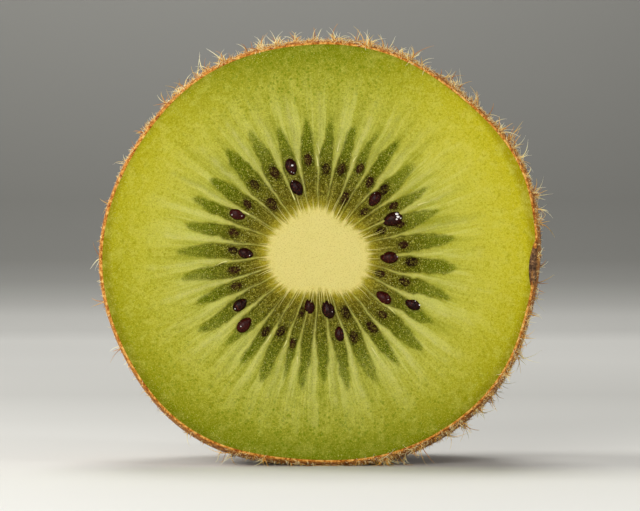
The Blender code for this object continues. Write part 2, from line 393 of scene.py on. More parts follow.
def on_side(angle, turn):
    """A point of the skin. turn runs from 0 at the girth to a quarter circle at the stem end."""
    power = 2 / (BARREL + (BELLY_BARREL - BARREL) * belly(angle))
    girth = rim_radius(angle) + SKIN + BULGE + SAG * belly(angle)
    depth = GIRTH + (DEPTH - GIRTH) * math.sin(turn) ** power
    lumps = sum(
        share * np.cos(np.radians(n * angle + crest) + turns * turn) for n, turns, share, crest in LUMPS
    )
    radius = girth * math.cos(turn) ** power * (1 + lumps * math.sin(turn))
    middle = FACE_CENTRE + np.stack((LEAN * depth, depth, np.zeros_like(depth)), axis=-1)
    return middle + rays(angle) * radius[..., None]


class Fruit:
    """What the random draws settle: walls, tips and seeds as in the CAD source, and each locule's looks."""

    def __init__(self):
        rng = random.Random(RANDOM_SEED)
        self.septa = septum_angles(rng)
        self.tips = locule_tips(rng)
        self.seeds = seed_places(self.septa, rng)
        more = np.random.default_rng(RANDOM_SEED)
        self.bluntness = more.uniform(0.65, 1.15, LOCULES)
        self.wall_light = more.uniform(0.45, 1.0, LOCULES)
        self.depth_light = more.uniform(0.72, 1.0, LOCULES)


# Meshes


def mesh_object(name, points, faces, fields):
    """A smooth mesh. faces lists each face's corners, and each field has a number for each point."""
    data = bpy.data.meshes.new(name)
    data.from_pydata(points.reshape(-1, 3).tolist(), [], faces)
    for field, values in fields.items():
        numbers = np.ravel(values).astype(np.float32)
        data.attributes.new(field, "FLOAT", "POINT").data.foreach_set("value", numbers)
    data.shade_smooth()
    piece = bpy.data.objects.new(name, data)
    bpy.context.scene.collection.objects.link(piece)
    return piece


def dress(piece, mat):
    """Every piece of the fruit is part of the look of its one solid, on its one body."""
    piece.data.materials.append(mat)
    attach(piece, "root")
    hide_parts("kiwi_half")


def ring_faces(rings, turns):
    """Quads between rings of points, each ring closed. The first ring is the innermost."""
    ring, turn = np.meshgrid(np.arange(rings - 1), np.arange(turns), indexing="ij")
    here = ring * turns + turn
    following = ring * turns + (turn + 1) % turns
    return np.stack((here, here + turns, following + turns, following), axis=-1).reshape(-1, 4)


# The cut face


def seed_marks(angle, radius, seeds, clear):
    """(shade, halo): how dark the flesh is over a sunk seed, and the pale ring round a clear one."""
    shade = np.zeros_like(angle)
    halo = np.zeros_like(angle)
    for i, (at, distance, size, tilt, _) in enumerate(seeds):
        turn = np.radians(angle - at)
        along, across = radius * np.cos(turn) - distance, radius * np.sin(turn)
        lean = math.radians(tilt)
        lengthways = (along * math.cos(lean) + across * math.sin(lean)) / (SEED_LENGTH / 2 * size)
        sideways = (across * math.cos(lean) - along * math.sin(lean)) / (SEED_WIDTH / 2 * size)
        away = np.hypot(lengthways, sideways)
        if i < clear:
            halo = np.maximum(halo, smooth(0.9, 1.05, away) * (1 - smooth(1.1, 1.35, away)))
        else:
            shade = np.maximum(shade, 1 - smooth(0.8, 1.7, away))
    return shade, halo


def face_fields(angle, radius, fruit):
    """(fields, forward): each tissue's share at points of the cut face, and the height of its relief."""
    turn = np.radians(angle)
    x, z = radius * np.cos(turn), radius * np.sin(turn)
    wobble = grain(x, z, WOBBLE, 11)
    fine = grain(x, z, FINE_WOBBLE, 12)
    broad, narrow = SWAY_BUMPS
    sway = SWAY * (grain(x, z, broad, 10) + 0.4 * grain(x, z, narrow, 9))

    # Which locule the point is in, and how far it is from the nearest wall and along the locule
    septa = np.array(fruit.septa)
    bent = (angle + sway - septa[0]) % 360 + septa[0]
    locule = np.clip(np.searchsorted(septa, bent, side="right") - 1, 0, LOCULES - 1)
    width = septa[locule + 1] - septa[locule]
    across = 2 * (bent - septa[locule]) / width - 1
    arc = np.radians(width / 2) * radius
    wall_away = (1 - np.abs(across)) * arc
    nearest = np.where(across < 0, locule, (locule + 1) % LOCULES)
    edge = core_radius(angle)
    tip = np.array(fruit.tips)[locule]
    reach = (radius - edge) / (tip - edge)

    # The locules' dark pockets
    taper = np.clip((reach - TAPER_START) / (TAPER_END - TAPER_START), 0, 1)
    gap = grow(LOCULE_GAP, 0.0078, 0.0140, radius)
    half = (arc - gap) * (1 - taper ** 1.9) ** fruit.bluntness[locule]
    inside = half - np.abs(across) * arc + 0.00010 * wobble + 0.00005 * fine
    soft = grow(LOCULE_SOFTNESS, 0.40, 1.0, reach)
    pocket = smooth(-soft, soft, inside) * smooth(0, 0.03, reach) * (1 - smooth(0.95, 1.06, reach))
    pocket *= 1 - (1 - fruit.depth_light[locule]) * smooth(0.45, 0.95, reach)

    # The walls between them, and the pale rays that go on from the walls
    wall = np.exp(-((wall_away / grow(WALL_WIDTH, 0.0065, 0.0135, radius)) ** 2))
    wall *= fruit.wall_light[nearest] * (1 - smooth(0.0140, 0.0215, radius + 0.002 * wobble))
    wall *= 0.78 + 0.22 * grain(nearest * 0.01, radius, 0.0011, 13)
    ray = np.exp(-((wall_away / grow(RAY_WIDTH, 0.010, 0.018, radius)) ** 2))
    ray *= smooth(0.0070, 0.0120, radius) * (1 - smooth(0.0150, 0.0225, radius + 0.0016 * wobble))
    ray *= 0.35 + 0.65 * fruit.wall_light[nearest]

    # The streaked zone beyond the locules, and the strands near the core
    lines = grain(bent, radius / 0.0080, 1.6, 14)
    zone = smooth(0.0100, 0.0140, radius) * (1 - smooth(0.0150, 0.0230, radius + 0.0012 * wobble))
    strands = 1 - smooth(0.0062, 0.0125, radius)

    # The core with its toothed edge, and the gold round it
    tooth = CORE_TOOTH * np.exp(-((wall_away / CORE_TOOTH_WIDTH) ** 2))
    tooth += 0.00016 * grain(angle, radius * 0, 0.8, 17)
    tooth += 0.00022 * (1 + grain(angle, radius * 0, 1.7, 16))
    core = 1 - smooth(-0.00045, 0.00055, radius - edge - tooth + 0.00026)
    glow = 1 - smooth(0.0, 0.0021, radius - edge + 0.0002 * wobble)

    # Painted light: the flesh is painted golden where light shines through it, most at the left and right,
    # and least below, where it stays a darker green
    shade, halo = seed_marks(angle, radius, fruit.seeds, len(CLEAR_SEEDS))
    painted_glow = 0.575 + 0.22 * np.cos(turn - math.radians(30)) + 0.34 * np.cos(2 * turn)
    painted_glow += 0.085 * np.sin(3 * turn) - 0.06 * np.cos(4 * turn)
    painted_glow -= 0.13 * np.maximum(0.0, np.cos(turn + math.radians(50))) ** 2

    floor = LOCULE_SINK * pocket * smooth(0, 0.1, reach) * (1 - 0.5 * smooth(0.7, 1, reach))
    forward = CORE_RISE * core - floor + 0.00005 * wall * (1 - core) + 0.00003 * pocket * (wobble + fine)
    forward -= 0.00006 * smooth(0.0003, 0, flesh_rim(angle) - radius)
    fields = {
        "core": core,
        "glow": glow,
        "pocket": pocket,
        "reach": np.clip(reach, 0, 1),
        "wall": wall * (1 - core),
        "ray": ray,
        "lines": lines * 0.5 + 0.5,
        "zone": zone,
        "strands": strands,
        "shade": shade * pocket,
        "halo": halo,
        "painted_glow": np.clip(painted_glow, 0, 1),
        "ripeness": radius / FACE_RADIUS,
    }
    return fields, forward


def face_sheet(name, fruit, radii):
    """A sheet of the cut face. radii is an array of rings by turns."""
    angle = np.broadcast_to(np.arange(FACE_TURNS) * 360 / FACE_TURNS, radii.shape)
    fields, forward = face_fields(angle, radii, fruit)
    points = on_face(angle, radii, forward)
    return mesh_object(name, points, ring_faces(*radii.shape).tolist(), fields)


def make_flesh(fruit, mat):
    angle = np.arange(FACE_TURNS) * 360 / FACE_TURNS
    inner, outer = core_radius(angle) * CORE_SHARE, flesh_rim(angle)
    share = np.linspace(0, 1, FLESH_RINGS)[:, None]
    crowd = share - 0.35 * share * (1 - share)  # rings lie closer over the locules than near the rim
    piece = face_sheet("kiwi_flesh", fruit, inner + (outer - inner) * crowd)
    dress(piece, mat)


def make_core(fruit, mat):
    angle = np.arange(FACE_TURNS) * 360 / FACE_TURNS
    share = np.linspace(0.001, 1, CORE_RINGS)[:, None]
    piece = face_sheet("kiwi_core", fruit, core_radius(angle) * CORE_SHARE * share)
    dress(piece, mat)


def seed_mesh_points(place):
    """Rings of points of one seed: a flattened drop with its point to the core."""
    at, distance, size, tilt, lift = place
    turn = np.linspace(0, 2 * np.pi, SEED_TURNS, endpoint=False)
    step = np.linspace(0.02, np.pi - 0.02, SEED_STEPS)[:, None]
    along = np.cos(step) * np.ones_like(turn)
    narrow = (1 - 0.25 * np.maximum(0.0, -along)) * np.sin(step)
    length = SEED_LENGTH / 2 * along
    side = SEED_WIDTH / 2 * np.cos(turn) * narrow
    front = SEED_HEIGHT / 2 * np.sin(turn) * narrow
    lean = math.radians(at + tilt)
    centre = on_face(np.array([at]), np.array([distance]), np.array([lift - LOCULE_SINK]))[0]
    x = length * math.cos(lean) - side * math.sin(lean)
    z = length * math.sin(lean) + side * math.cos(lean)
    return centre + np.stack((x, -front, z), axis=-1) * size


def make_seeds(name, places, mat):
    points, faces, tone = [], [], []
    rng = np.random.default_rng(21)
    count = SEED_TURNS * SEED_STEPS
    for i, place in enumerate(places):
        points.append(seed_mesh_points(place).reshape(-1, 3))
        faces += (ring_faces(SEED_STEPS, SEED_TURNS) + i * count).tolist()
        tone.append(np.full(count, rng.uniform(0, 1)))
    piece = mesh_object(name, np.concatenate(points), faces, {"tone": np.concatenate(tone)})
    dress(piece, mat)


# Tubes: hairs and fibres


def tubes(paths, thick, sides):
    """(points, faces, along) of tapered tubes. paths is an array of tubes by steps by 3."""
    count, steps, _ = paths.shape
    ahead = np.gradient(paths, axis=1)
    ahead /= np.linalg.norm(ahead, axis=2, keepdims=True) + 1e-12
    helper = np.where(np.abs(ahead[:, :1, 2:3]) > 0.9, np.array((1.0, 0, 0)), UP)
    one = np.cross(ahead, helper)
    one /= np.linalg.norm(one, axis=2, keepdims=True) + 1e-12
    two = np.cross(ahead, one)
    share = np.linspace(0, 1, steps)
    girth = thick[:, None] * (1 - 0.85 * share ** 1.5)
    turn = np.arange(sides) * 2 * np.pi / sides
    ring = one[:, :, None] * np.cos(turn)[:, None] + two[:, :, None] * np.sin(turn)[:, None]
    points = paths[:, :, None] + ring * girth[:, :, None, None]
    along = np.broadcast_to(share[None, :, None], points.shape[:3])
    starts = np.arange(count) * steps * sides
    quads = (ring_faces(steps, sides) + starts[:, None, None]).reshape(-1, 4)
    ends = np.arange(sides) + (steps - 1) * sides + starts[:, None]
    return points, quads.tolist() + ends.tolist(), along


def tube_object(name, paths, thick, sides, tone):
    points, faces, along = tubes(paths, thick, sides)
    tones = np.broadcast_to(tone[:, None, None], along.shape)
    return mesh_object(name, points, faces, {"along": along, "tone": tones})


# The skin


def skin_rows():
    """(angles, rings from the cut to the stem's scar, how much each looks cut, which are wood)."""
    angle = np.arange(SKIN_TURNS) * 360 / SKIN_TURNS
    rows, cut, stem = [], [], []

    def add(points, is_cut, is_stem):
        rows.append(points)
        cut.append(is_cut)
        stem.append(is_stem)

    inner, outer = flesh_rim(angle) + 0.00003, rim_radius(angle) + SKIN * 0.5
    add(on_face(angle, flesh_rim(angle), 0 * angle - 0.00005), 1.0, 0.0)
    for step in np.linspace(0, 1, CUT_STEPS):
        crumbs = 0.00004 * grain(angle, angle * 0 + step, 0.7, 33)
        add(on_face(angle, inner + (outer - inner) * step, crumbs), 1.0, 0.0)
    for share, rounding, is_cut in LIP_RINGS:
        add(before_girth(angle, share) - rays(angle) * SKIN * rounding, is_cut, 0.0)
    for turn in np.linspace(0.03, math.pi / 2 * 0.94, SIDE_RINGS):
        add(on_side(angle, turn), 0.0, 0.0)
    end = FACE_CENTRE + np.array((LEAN * DEPTH, DEPTH, 0))
    for radius, rise, is_stem in STEM_RINGS:
        ragged = radius * (1 + is_stem * 0.06 * grain(angle, angle * 0, 14, 31))
        points = end + rays(angle) * ragged[:, None]
        points[:, 1] += rise
        add(points, 0.0, float(is_stem))
    return angle, np.array(rows), np.array(cut), np.array(stem)


def make_skin(mat):
    """Makes the skin, and gives back the rings that carry hairs."""
    angle, rows, cut, stem = skin_rows()
    rows[..., 2] = np.maximum(rows[..., 2], 0)
    shape = rows.shape[:2]
    depth = rows[..., 1] - FACE_Y
    from_flesh = np.hypot(rows[..., 0] - FACE_CENTRE[0], rows[..., 2] - FACE_CENTRE[2]) - flesh_rim(angle)
    ragged = grain(angle + 0 * depth, (depth + from_flesh) / 0.0003, 0.7, 32)
    scar = smooth(0.15, 0.75, notch(angle) + 0.4 * ragged) * (1 - smooth(0.0002, 0.0012, depth))
    scar *= 1 - smooth(0.00085, 0.00115, from_flesh + 0.00015 * ragged)
    fields = {
        "cut": np.broadcast_to(cut[:, None], shape),
        "stem": np.broadcast_to(stem[:, None], shape),
        "scar": scar,
        "lip": 1 - smooth(0.0008, 0.0055, depth),
        # painted shade: most straight below
        "painted_underside_shade": np.broadcast_to(smooth(-0.1, 0.7, -np.sin(np.radians(angle))), shape),
    }
    piece = mesh_object("kiwi_skin", rows, ring_faces(*shape).tolist(), fields)
    dress(piece, mat)
    return rows[CUT_STEPS:-len(STEM_RINGS)]


def hair_density(angle, depth, crowding):
    """More hairs on the top and the lower right of the cut's edge, and fewer at the left and lower left."""
    turned = np.radians(angle)
    edge = 0.65 + 0.45 * np.cos(turned - math.radians(75)) + 0.3 * np.cos(2 * (turned - math.radians(-75)))
    edge += 0.35 * np.maximum(0.0, np.cos(turned - math.radians(-50))) ** 4
    edge -= 0.40 * np.maximum(0.0, np.cos(turned - math.radians(155))) ** 2
    edge *= 1 - 0.9 * near_scar(angle, 2 * NOTCH_HALF_WIDTH)
    away = smooth(0.001, 0.012, depth)
    crowd = 1 + (crowding - 1) * (1 - smooth(0.0002, 0.0022, depth))
    return (np.clip(edge, 0.08, 1.3) * (1 - away) + 0.8 * away) * crowd


def hair_roots(rows, count, rng, clumping, crowding):
    """(points, normals) on the skin, spread by area and density, in loose clumps."""
    here = rows[:-1]
    along = rows[1:] - here
    across = np.roll(here, -1, axis=1) - here
    normal = np.cross(across, along)
    area = np.linalg.norm(normal, axis=2)
    normal /= area[..., None] + 1e-12
    outwards = here - np.array((FACE_CENTRE[0], FACE_CENTRE[1] + GIRTH, FACE_CENTRE[2]))
    normal *= np.sign(np.sum(normal * outwards, axis=2, keepdims=True))
    angle = np.degrees(np.arctan2(here[..., 2] - FACE_CENTRE[2], here[..., 0] - FACE_CENTRE[0]))
    depth = here[..., 1] - FACE_Y
    clump = 1 + clumping * grain(np.radians(angle) * FACE_RADIUS, depth, 0.0011, 41)
    weight = (area * hair_density(angle, depth, crowding) * np.maximum(clump, 0.02)).ravel()
    chosen = rng.choice(weight.size, count, p=weight / weight.sum())
    u, v = rng.uniform(0, 1, (2, count, 1))
    corner, across, along, normal = (
        grid.reshape(-1, 3)[chosen] for grid in (here, across, along, normal)
    )
    return corner + across * u + along * v, normal


def make_hairs(name, rows, mat, kind, seed):
    count, lengths, thickness, steps, lean_size, clumping, crowding, tuft = kind
    rng = np.random.default_rng(seed)
    roots, normals = hair_roots(rows, count // tuft, rng, clumping, crowding)
    roots, normals = np.repeat(roots, tuft, axis=0), np.repeat(normals, tuft, axis=0)
    roots += TUFT_SPREAD * np.cross(normals, rng.normal(0, 1, (count, 3))) * (tuft > 1)
    lean = rng.normal(0, 1, (count, 3))
    lean -= normals * np.sum(lean * normals, axis=1, keepdims=True)
    lean /= np.linalg.norm(lean, axis=1, keepdims=True)
    tilt = np.minimum(rng.gamma(2.0, lean_size / 2, (count, 1)), 3 * lean_size)
    forward = 0.1 + 0.6 * smooth(0.75, 1.0, -normals[:, 2:])  # those below splay out on the floor
    way = normals + lean * tilt - forward * np.array((0.0, 1.0, 0.0))
    way /= np.linalg.norm(way, axis=1, keepdims=True)
    side = np.cross(way, normals + 0.3 * lean)
    side /= np.linalg.norm(side, axis=1, keepdims=True) + 1e-9
    curl, droop = np.clip(rng.normal(0, HAIR_BEND, (2, count, 1)), -HAIR_MOST_BEND, HAIR_MOST_BEND)
    length = rng.uniform(0, 1, count) ** 1.4 * (lengths[1] - lengths[0]) + lengths[0]
    share = np.linspace(0, 1, steps)[None, :, None]
    bend = side * curl - np.cross(side, way) * droop
    path = way[:, None] * (share - 0.15 * share ** 3) + bend[:, None] * share ** 2
    paths = (roots - normals * HAIR_ROOT)[:, None] + path * length[:, None, None]
    paths[..., 2] = np.maximum(paths[..., 2], HAIR_FLOOR)
    thick = thickness * rng.uniform(0.7, 1.25, count)
    piece = tube_object(name, paths, thick, HAIR_SIDES, rng.uniform(0, 1, count))
    dress(piece, mat)


# Fibres and juice on the cut


def make_fibres(fruit, mat):
    """Thin pale strands that run out of the core over the locules."""
    rng = np.random.default_rng(51)
    share = np.linspace(0, 1, 9)
    paths, thick = [], []
    for i in range(LOCULES):
        for _ in range(rng.integers(1, 4)):
            width = fruit.septa[i + 1] - fruit.septa[i]
            start = fruit.septa[i] + width * rng.uniform(0.15, 0.85)
            inner = core_radius(np.array([start]))[0] * 0.98
            length = rng.uniform(0.0005, 0.0030)
            sway = rng.uniform(-2.5, 2.5) * share ** 2
            rise = 0.00012 - 0.00030 * share + 0.00012 * np.sin(3 * share)
            paths.append(on_face(start + sway, inner + length * share, rise))
            thick.append(rng.uniform(0.00003, 0.00006))
    piece = tube_object("kiwi_fibres", np.array(paths), np.array(thick), 5, rng.uniform(0, 1, len(paths)))
    dress(piece, mat)


def beads(centres, sizes, turns, steps):
    """(points, faces) of round beads. sizes is beads by 3: across, forward, up."""
    turn = np.linspace(0, 2 * np.pi, turns, endpoint=False)
    step = np.linspace(0.15, np.pi - 0.15, steps)[:, None]
    around, forward, up = np.sin(step) * np.cos(turn), np.cos(step) + 0 * turn, np.sin(step) * np.sin(turn)
    ball = np.stack((around, forward, up), axis=-1)
    points = centres[:, None, None] + ball * sizes[:, None, None]
    starts = np.arange(len(centres)) * turns * steps
    faces = (ring_faces(steps, turns) + starts[:, None, None]).reshape(-1, 4)
    return points, faces.tolist()


def make_juice(fruit, rng, mat):
    """Wet beads on the face, painted pale as sparkles: over the locules, along the rim, and on the outer
    flesh.
    """
    centres, sizes = [], []

    def scatter(kind, radii, chance):
        """chance gives how likely a bead is, from the face's fields."""
        count, small, large = kind
        angle = rng.uniform(0, 360, count)
        radius = radii(count)
        fields, forward = face_fields(angle, radius, fruit)
        kept = rng.uniform(0, 1, count) < chance(fields)
        size = rng.uniform(0, 1, count) ** 2 * (large - small) + small
        centres.append(on_face(angle, radius, forward + size * 0.3)[kept])
        sizes.append(np.repeat(size[:, None], 3, axis=1)[kept])

    def over_locules(count):
        return rng.uniform(0.0085, 0.0158, count)

    def near_rim(count):
        return FACE_RADIUS * (1 - rng.gamma(1.2, 0.014, count)) - 0.0004

    def outer_flesh(count):
        return rng.uniform(0.0155, 0.0240, count)

    scatter(LOCULE_BEADS, over_locules, lambda fields: 0.75 * fields["pocket"])
    scatter(RIM_BEADS, near_rim, lambda fields: np.clip(1.15 - fields["painted_glow"], 0.2, 1.0))
    scatter(OUTER_BEADS, outer_flesh, lambda fields: 0.4)
    points, faces = beads(np.concatenate(centres), np.concatenate(sizes), *BEAD_MESH)
    piece = mesh_object("kiwi_juice", points, faces, {})
    dress(piece, mat)


def make_wet_edges(fruit, rng, mat):
    """A few wet streaks on the walls, painted pale as highlights."""
    share = np.linspace(0, 1, 7)
    paths, thick = [], []
    for i, start in WET_EDGES:
        at = fruit.septa[i] + rng.uniform(-0.6, 0.6)
        radius = start + rng.uniform(0.0007, 0.0018) * share
        angle = at + rng.uniform(-2.0, 2.0) * share ** 2
        paths.append(on_face(angle, radius, 0.00005 + 0 * radius))
        thick.append(rng.uniform(0.00007, 0.00013))
    piece = tube_object("kiwi_wet_edges", np.array(paths), np.array(thick), 6, np.ones(len(paths)))
    dress(piece, mat)


def make_glints(fruit, mat):
    """Painted highlights: low white drops on the clear seeds."""
    centres = [seed_mesh_points(fruit.seeds[seed])[step, turn] for seed, step, turn, _ in SEED_GLINTS]
    radii = np.array([radius for *_, radius in SEED_GLINTS])
    points, faces = beads(np.array(centres), radii[:, None] * np.array(GLINT_SHAPE), *DROP_MESH)
    piece = mesh_object("kiwi_seed_glints", points, faces, {})
    dress(piece, mat)


# Materials


def srgb(red, green, blue):
    """Linear colour from the usual 0 to 255 values."""
    def linear(value):
        share = value / 255
        return share / 12.92 if share <= 0.04045 else ((share + 0.055) / 1.055) ** 2.4

    return linear(red), linear(green), linear(blue), 1.0


class Looks:
    """A material's node tree, with short ways to add the nodes that the fruit needs."""

    def __init__(self, name, **sockets):
        self.material = bpy.data.materials.new(name)
        self.material.use_nodes = True
        self.tree = self.material.node_tree
        self.shader = self.tree.nodes["Principled BSDF"]
        self.place = self.add("ShaderNodeTexCoord").outputs["Object"]
        for socket, value in sockets.items():
            self.set(self.shader, socket.replace("_", " "), value)

    def add(self, kind, **settings):
        node = self.tree.nodes.new(kind)
        for setting, value in settings.items():
            setattr(node, setting, value)
        return node

    def set(self, node, socket, value):
        """value is an output to link, or a plain value."""
        if isinstance(value, bpy.types.NodeSocket):
            self.tree.links.new(value, node.inputs[socket])
        else:
            node.inputs[socket].default_value = value

    def field(self, name):
        return self.add("ShaderNodeAttribute", attribute_name=name).outputs["Fac"]

    def noise(self, size, detail=2.0, roughness=0.5, place=None):
        """Values about 0.5, with bumps of that size in metres."""
        node = self.add("ShaderNodeTexNoise")
        self.set(node, "Vector", place or self.place)
        self.set(node, "Scale", 1 / size)
        self.set(node, "Detail", detail)
        self.set(node, "Roughness", roughness)
        return node.outputs["Fac"]

    def polar(self, degrees, length):
        """A place for noise whose grains run along the face's rays, that wide and that long."""
        steps = (
            ("SUBTRACT", tuple(FACE_CENTRE + CORE_CENTRE)),
            ("MULTIPLY", (1.0, 0.0, 1.0)),
        )
        flat = self.place
        for operation, value in steps:
            node = self.add("ShaderNodeVectorMath", operation=operation)
            self.set(node, 0, flat)
            self.set(node, 1, value)
            flat = node.outputs["Vector"]
        way = self.add("ShaderNodeVectorMath", operation="NORMALIZE")
        self.set(way, 0, flat)
        turned = self.add("ShaderNodeVectorMath", operation="SCALE")
        self.set(turned, 0, way.outputs["Vector"])
        self.set(turned, "Scale", 1 / math.radians(degrees))
        far = self.add("ShaderNodeVectorMath", operation="LENGTH")
        self.set(far, 0, flat)
        rise = self.add("ShaderNodeCombineXYZ")
        self.set(rise, "Y", self.times(far.outputs["Value"], 1 / length))
        total = self.add("ShaderNodeVectorMath", operation="ADD")
        self.set(total, 0, turned.outputs["Vector"])
        self.set(total, 1, rise.outputs["Vector"])
        return total.outputs["Vector"]

    def spots(self, size):
        """Distance from scattered points that far apart, as a share of it."""
        node = self.add("ShaderNodeTexVoronoi")
        self.set(node, "Vector", self.place)
        self.set(node, "Scale", 1 / size)
        return node.outputs["Distance"]

    def math(self, operation, a, b=0.0):
        node = self.add("ShaderNodeMath", operation=operation)
        self.set(node, 0, a)
        self.set(node, 1, b)
        return node.outputs[0]

    def times(self, a, b):
        return self.math("MULTIPLY", a, b)

    def between(self, value, low, high, start=0.0, end=1.0):
        """Maps low to start and high to end, smoothly, and holds them outside."""
        node = self.add("ShaderNodeMapRange", interpolation_type="SMOOTHSTEP")
        self.set(node, "Value", value)
        for socket, number in (("From Min", low), ("From Max", high), ("To Min", start), ("To Max", end)):
            self.set(node, socket, number)
        return node.outputs["Result"]

    def mix(self, share, a, b, blend="MIX"):
        node = self.add("ShaderNodeMix", data_type="RGBA", blend_type=blend)
        self.set(node, 0, share)
        self.set(node, 6, a)
        self.set(node, 7, b)
        return node.outputs[2]

    def ramp(self, value, *stops):
        """stops are (position, red, green, blue)."""
        node = self.add("ShaderNodeValToRGB")
        self.set(node, "Fac", value)
        elements = node.color_ramp.elements
        while len(elements) < len(stops):
            elements.new(1.0)
        for element, (position, *colour) in zip(elements, stops):
            element.position = position
            element.color = srgb(*colour)
        return node.outputs["Color"]

    def bump(self, height, distance):
        node = self.add("ShaderNodeBump")
        self.set(node, "Height", height)
        self.set(node, "Distance", distance)
        self.set(self.shader, "Normal", node.outputs["Normal"])


def core_colour(looks):
    cream = looks.mix(looks.noise(0.0012), srgb(216, 203, 119), srgb(222, 209, 129))
    pores = looks.between(looks.noise(0.00015, 2.0, 0.7), 0.30, 0.50, 0.80, 0.0)
    return looks.mix(pores, cream, srgb(184, 164, 76))


def core_material():
    looks = Looks(
        "core", Roughness=0.5, Specular_IOR_Level=0.15, Subsurface_Weight=0.1, Subsurface_Scale=0.001
    )
    looks.set(looks.shader, "Base Color", core_colour(looks))
    looks.bump(looks.noise(0.00025, 3.0, 0.6), 0.00003)
    return looks.material


def ripe_colour(looks, ripeness):
    """Green flesh, painted golden where light shines through it, by how far out it lies."""
    green = looks.ramp(
        ripeness,
        (0.30, 124, 118, 32),
        (0.48, 142, 143, 50),
        (0.58, 154, 157, 58),
        (0.70, 158, 160, 54),
        (0.86, 142, 147, 34),
        (0.97, 108, 119, 6),
        (1.00, 78, 90, 2),
    )
    painted_glow_colour = looks.ramp(
        ripeness,
        (0.30, 124, 118, 32),
        (0.48, 148, 148, 50),
        (0.58, 164, 166, 58),
        (0.70, 188, 184, 64),
        (0.86, 195, 187, 52),
        (0.97, 192, 181, 28),
        (1.00, 160, 146, 8),
    )
    return looks.mix(looks.field("painted_glow"), green, painted_glow_colour)


def outer_flesh_colour(looks, mottle, dark):
    """The flesh beyond the locules: mottled, pitted where the painted glow is weak, with pale and dark
    threads.
    """
    ripeness = looks.field("ripeness")
    colour = ripe_colour(looks, ripeness)
    soft = looks.noise(0.0013, 2.0, 0.5)
    colour = looks.mix(looks.between(soft, 0.45, 0.70, 0.0, 0.30), colour, srgb(206, 202, 92))
    colour = looks.mix(looks.between(mottle, 0.52, 0.68, 0.0, 0.28), colour, srgb(210, 206, 96))
    colour = looks.mix(looks.between(mottle, 0.34, 0.48, 0.50, 0.0), colour, dark)
    flecks = looks.between(looks.noise(0.00050, 2.0, 0.6), 0.32, 0.40, 0.50, 0.0)
    colour = looks.mix(flecks, colour, dark)
    # Where the painted glow is weak: the pits and the darker green rim show there
    outside_painted_glow = looks.between(looks.field("painted_glow"), 0.1, 0.8, 1.0, 0.1)
    pits = looks.between(looks.spots(0.00055), 0.14, 0.40, 0.80, 0.0)
    pits = looks.times(pits, looks.times(outside_painted_glow, looks.between(ripeness, 0.62, 0.78)))
    colour = looks.mix(pits, colour, srgb(104, 124, 0))
    edge = looks.times(looks.between(ripeness, 0.76, 1.0, 0.0, 0.42), outside_painted_glow)
    colour = looks.mix(edge, colour, srgb(92, 108, 0))
    colour = looks.mix(looks.times(looks.field("ray"), 0.30), colour, srgb(204, 204, 108))
    threads = looks.noise(1.0, 3.0, 0.65, place=looks.polar(0.9, 0.0050))
    threads = looks.math("ADD", looks.times(looks.field("lines"), 0.4), looks.times(threads, 0.6))
    pale = looks.times(looks.field("zone"), looks.between(threads, 0.48, 0.66, 0.0, 0.55))
    colour = looks.mix(pale, colour, srgb(206, 206, 112))
    dusk = looks.times(looks.field("zone"), looks.between(threads, 0.30, 0.50, 0.45, 0.0))
    return looks.mix(dusk, colour, srgb(124, 130, 22))


def locule_colour(looks):
    """The locules: olive gold at the core, then dark olive, then green, with patches and strands."""
    patchy = looks.noise(0.00036, 4.0, 0.75)
    deep = looks.ramp(
        looks.field("reach"),
        (0.00, 130, 116, 14),
        (0.12, 94, 82, 6),
        (0.30, 74, 68, 0),
        (0.50, 76, 80, 0),
        (0.72, 82, 94, 0),
        (1.00, 92, 106, 0),
    )
    deep = looks.mix(looks.between(patchy, 0.50, 0.70, 0.0, 0.80), deep, srgb(154, 150, 58))
    deep = looks.mix(looks.between(patchy, 0.30, 0.49, 0.78, 0.0), deep, srgb(40, 32, 0))
    strand = looks.noise(1.0, 2.0, 0.6, place=looks.polar(0.8, 0.0030))
    strand = looks.times(looks.between(strand, 0.52, 0.68, 0.0, 0.75), looks.field("strands"))
    return looks.mix(strand, deep, srgb(166, 158, 70))


def flesh_material():
    looks = Looks("flesh", Specular_IOR_Level=0.03, Subsurface_Weight=0.06, Subsurface_Scale=0.0006)
    mottle = looks.noise(0.00030, 3.0, 0.65)
    # The flecks' dark colour follows the painted glow, paler where light is painted shining through
    dark = looks.mix(looks.field("painted_glow"), srgb(104, 114, 2), srgb(156, 150, 10))
    colour = outer_flesh_colour(looks, mottle, dark)
    colour = looks.mix(looks.field("pocket"), colour, locule_colour(looks))
    glow = looks.times(looks.field("glow"), looks.between(looks.field("glow"), 0.0, 1.0, 0.4, 0.85))
    colour = looks.mix(glow, colour, srgb(174, 160, 42))
    veil = looks.between(looks.noise(0.00035, 3.0, 0.65), 0.42, 0.60, 1.0, 0.2)
    colour = looks.mix(looks.times(looks.field("shade"), veil), colour, srgb(34, 20, 0))
    ragged = looks.noise(1.0, 3.0, 0.7, place=looks.polar(0.5, 0.0009))
    walls = looks.times(looks.field("wall"), looks.between(ragged, 0.36, 0.60, 0.35, 0.92))
    colour = looks.mix(walls, colour, srgb(188, 186, 112))
    specks = looks.noise(0.00014, 2.0, 0.7)
    colour = looks.mix(looks.between(specks, 0.53, 0.66, 0.0, 0.40), colour, srgb(214, 208, 78))
    colour = looks.mix(looks.between(specks, 0.34, 0.47, 0.45, 0.0), colour, dark)
    dots = looks.times(looks.between(specks, 0.32, 0.46, 0.65, 0.0), looks.field("pocket"))
    colour = looks.mix(dots, colour, srgb(34, 26, 0))
    colour = looks.mix(looks.times(looks.field("halo"), 0.25), colour, srgb(150, 146, 70))
    colour = looks.mix(looks.field("core"), colour, core_colour(looks))
    looks.set(looks.shader, "Base Color", colour)
    looks.set(looks.shader, "Roughness", looks.between(mottle, 0.3, 0.7, 0.55, 0.35))
    looks.bump(mottle, 0.00005)
    return looks.material


